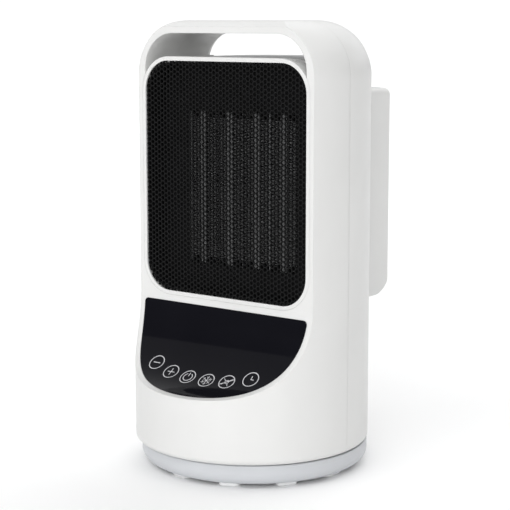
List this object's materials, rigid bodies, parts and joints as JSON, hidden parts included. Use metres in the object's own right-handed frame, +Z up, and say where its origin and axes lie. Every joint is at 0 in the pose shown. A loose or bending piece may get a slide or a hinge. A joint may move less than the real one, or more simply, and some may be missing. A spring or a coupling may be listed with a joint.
{
  "type": "ceramic space heater",
  "caption": "Compact upright ceramic fan heater with carry handle, black mesh outlet, curved touch panel, rear filter box and a swinging tower on a round base.",
  "frame": {"origin": "on the floor under the feet, on the vertical axis that the tower swings about (centre of the round base)", "axes": "+Z up along the tower, the grille and touch panel face -Y, +X to the object's left when it faces the viewer (viewer's right)"},
  "size_m": [0.16, 0.182, 0.3008],
  "materials": {
    "shell_white": "satin moulded plastic, warm white",
    "base_grey": "satin moulded plastic, light blue-grey",
    "frame_white": "satin moulded plastic, warm white",
    "grille_black": "black powder coat",
    "panel_black": "high gloss, piano black",
    "inner_black": "matt heat-resistant plastic",
    "inner_grey": "matt moulded plastic",
    "element_aluminium": "mill finish",
    "ptc_ceramic": "fired dark ceramic",
    "rubber_dark": "soft rubber",
    "rubber_pale": "soft pale rubber",
    "steel_zinc": "zinc plated",
    "laminated_steel": "stacked laminations",
    "copper_coil": "enamelled copper winding",
    "board_green": "circuit board with solder resist",
    "relay_blue": "moulded relay case",
    "bush_bronze": "sintered bronze",
    "glide_white": "low-friction acetal",
    "mesh_grey": "fine nylon filter mesh"
  },
  "bodies": {
    "base": {"base_shell": "base_grey", "base_plate": "inner_grey", "base_screws": "steel_zinc", "rubber_feet": "rubber_pale", "pivot_post": "glide_white", "pivot_retainer": "steel_zinc", "glide_ring": "glide_white", "swing_gear": "glide_white", "tip_switch": "inner_black"},
    "tower": {"front_shell": "shell_white", "rear_shell": "shell_white", "shell_screws": "steel_zinc", "tower_floor": "inner_grey", "grille_frame": "frame_white", "front_grille": "grille_black", "touch_panel": "panel_black", "touch_board": "board_green", "touch_board_chips": "inner_black", "heater_holder": "inner_black", "ptc_tubes": "element_aluminium", "ptc_stones": "ptc_ceramic", "ptc_side_plates": "element_aluminium", "ptc_fins": "element_aluminium", "ptc_terminals": "steel_zinc", "thermal_cutout": "steel_zinc", "thermal_fuse": "steel_zinc", "air_duct": "inner_black", "fan_shroud": "inner_black", "motor_core": "laminated_steel", "motor_coil": "copper_coil", "motor_bridges": "steel_zinc", "shaft_bushes": "bush_bronze", "power_board": "board_green", "power_relays": "relay_blue", "board_capacitors": "inner_black", "triac_heatsink": "element_aluminium", "terminal_block": "glide_white", "swing_motor": "steel_zinc", "rear_cover": "shell_white", "cord_gland": "rubber_dark"},
    "fan": {"fan_impeller": "inner_black", "fan_shaft": "steel_zinc", "motor_rotor": "laminated_steel"},
    "pinion": {"swing_pinion": "glide_white"},
    "plunger": {"tip_plunger": "inner_grey"},
    "filter": {"filter_frame": "inner_grey", "filter_mesh": "mesh_grey"}
  },
  "joints": [
    {"name": "tower_swing", "type": "hinge", "parent": "base", "child": "tower", "pos_m": [0, 0, 0.0174], "axis": [0, 0, 1], "range_deg": [-35, 35]},
    {"name": "fan_spin", "type": "hinge", "parent": "tower", "child": "fan", "pos_m": [0, 0.024, 0.1877], "axis": [0, 1, 0], "continuous": true},
    {"name": "pinion_spin", "type": "hinge", "parent": "tower", "child": "pinion", "pos_m": [0, 0.037, 0.012], "axis": [0, 0, 1], "range_deg": [-151, 151]},
    {"name": "plunger_slide", "type": "slide", "parent": "base", "child": "plunger", "axis": [0, 0, 1], "range_m": [-0.003, 0], "stiffness_N_per_m": 60, "springref_m": -0.005},
    {"name": "filter_slide", "type": "slide", "parent": "tower", "child": "filter", "axis": [0, 0, 1], "range_m": [0, 0.145]}
  ],
  "couplings": [
    {"joint": "pinion_spin", "follows": "tower_swing", "ratio": 4.2857}
  ]
}
